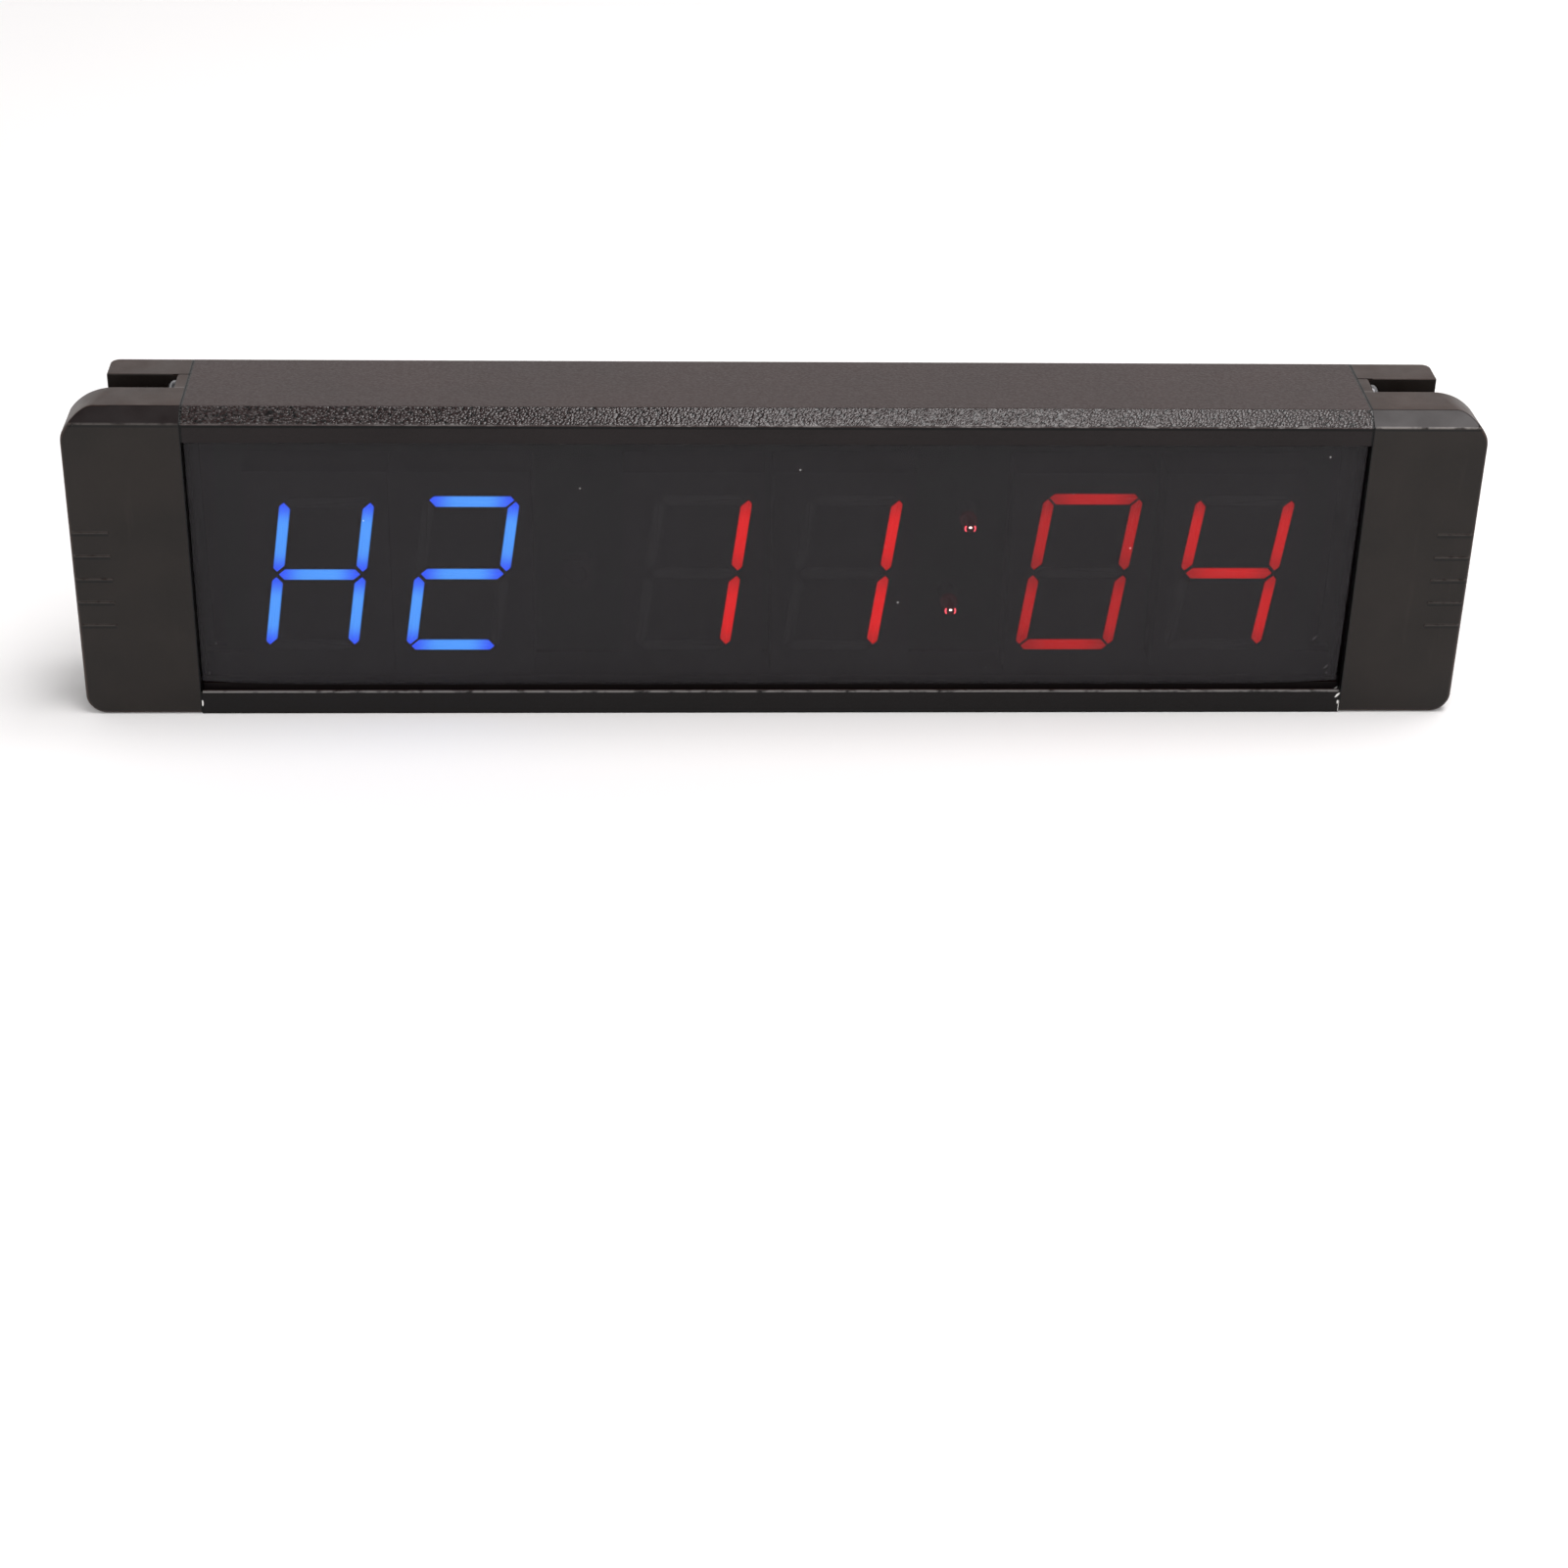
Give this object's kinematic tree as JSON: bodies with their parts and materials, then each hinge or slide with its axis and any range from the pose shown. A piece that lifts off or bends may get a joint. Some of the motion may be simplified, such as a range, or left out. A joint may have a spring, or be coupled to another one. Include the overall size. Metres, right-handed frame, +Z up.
{
  "type": "gym round timer",
  "caption": "Long slim wall timer: seven-segment digits behind a dark window in an extruded body with moulded end caps and rear keyholes.",
  "frame": {"origin": "centre of the bottom of the bounding box", "axes": "+X along the length, to the right as seen from the front; -Y out of the window, +Y towards the wall; +Z up"},
  "size_m": [0.301, 0.0286, 0.0716],
  "materials": {
    "body_metal": "textured black powder coat on extruded aluminium",
    "window": "dark tinted acrylic sheet, satin front",
    "cap_plastic": "fine-grained black moulding",
    "screw_metal": "zinc-plated steel",
    "board": "green solder mask on glass-epoxy board",
    "digit_black": "black moulding",
    "segment_blue": "milky diffuser lit blue",
    "segment_red": "milky diffuser lit red",
    "lamp_red": "clear red epoxy",
    "lead_metal": "tinned",
    "chip_black": "black epoxy",
    "part_black": "black nylon",
    "cell_steel": "brushed stainless steel",
    "can_metal": "drawn aluminium can"
  },
  "bodies": {
    "root": {"housing": "body_metal", "window_panel": "window", "left_end_cap": "cap_plastic", "right_end_cap": "cap_plastic", "left_cap_screws": "screw_metal", "right_cap_screws": "screw_metal", "main_board": "board", "digit_1_body": "digit_black", "digit_2_body": "digit_black", "digit_3_body": "digit_black", "digit_4_body": "digit_black", "digit_5_body": "digit_black", "digit_6_body": "digit_black", "digit_1_segments": "segment_blue", "digit_2_segments": "segment_blue", "digit_3_segments": "segment_red", "digit_4_segments": "segment_red", "digit_5_segments": "segment_red", "digit_6_segments": "segment_red", "digit_pins": "lead_metal", "colon_lamps": "lamp_red", "colon_spacers": "part_black", "colon_leads": "lead_metal", "receiver": "chip_black", "receiver_leads": "lead_metal", "microcontroller": "chip_black", "lamp_drivers": "chip_black", "clock_chip": "chip_black", "clock_crystal": "can_metal", "coin_cell": "cell_steel", "coin_cell_holder": "part_black", "buzzer": "part_black", "voltage_regulator": "chip_black", "capacitors": "can_metal", "digit_transistors": "chip_black", "chip_leads": "lead_metal", "chip_resistors": "chip_black", "socket_shell": "lead_metal", "socket_insert": "part_black"}
  },
  "joints": []
}
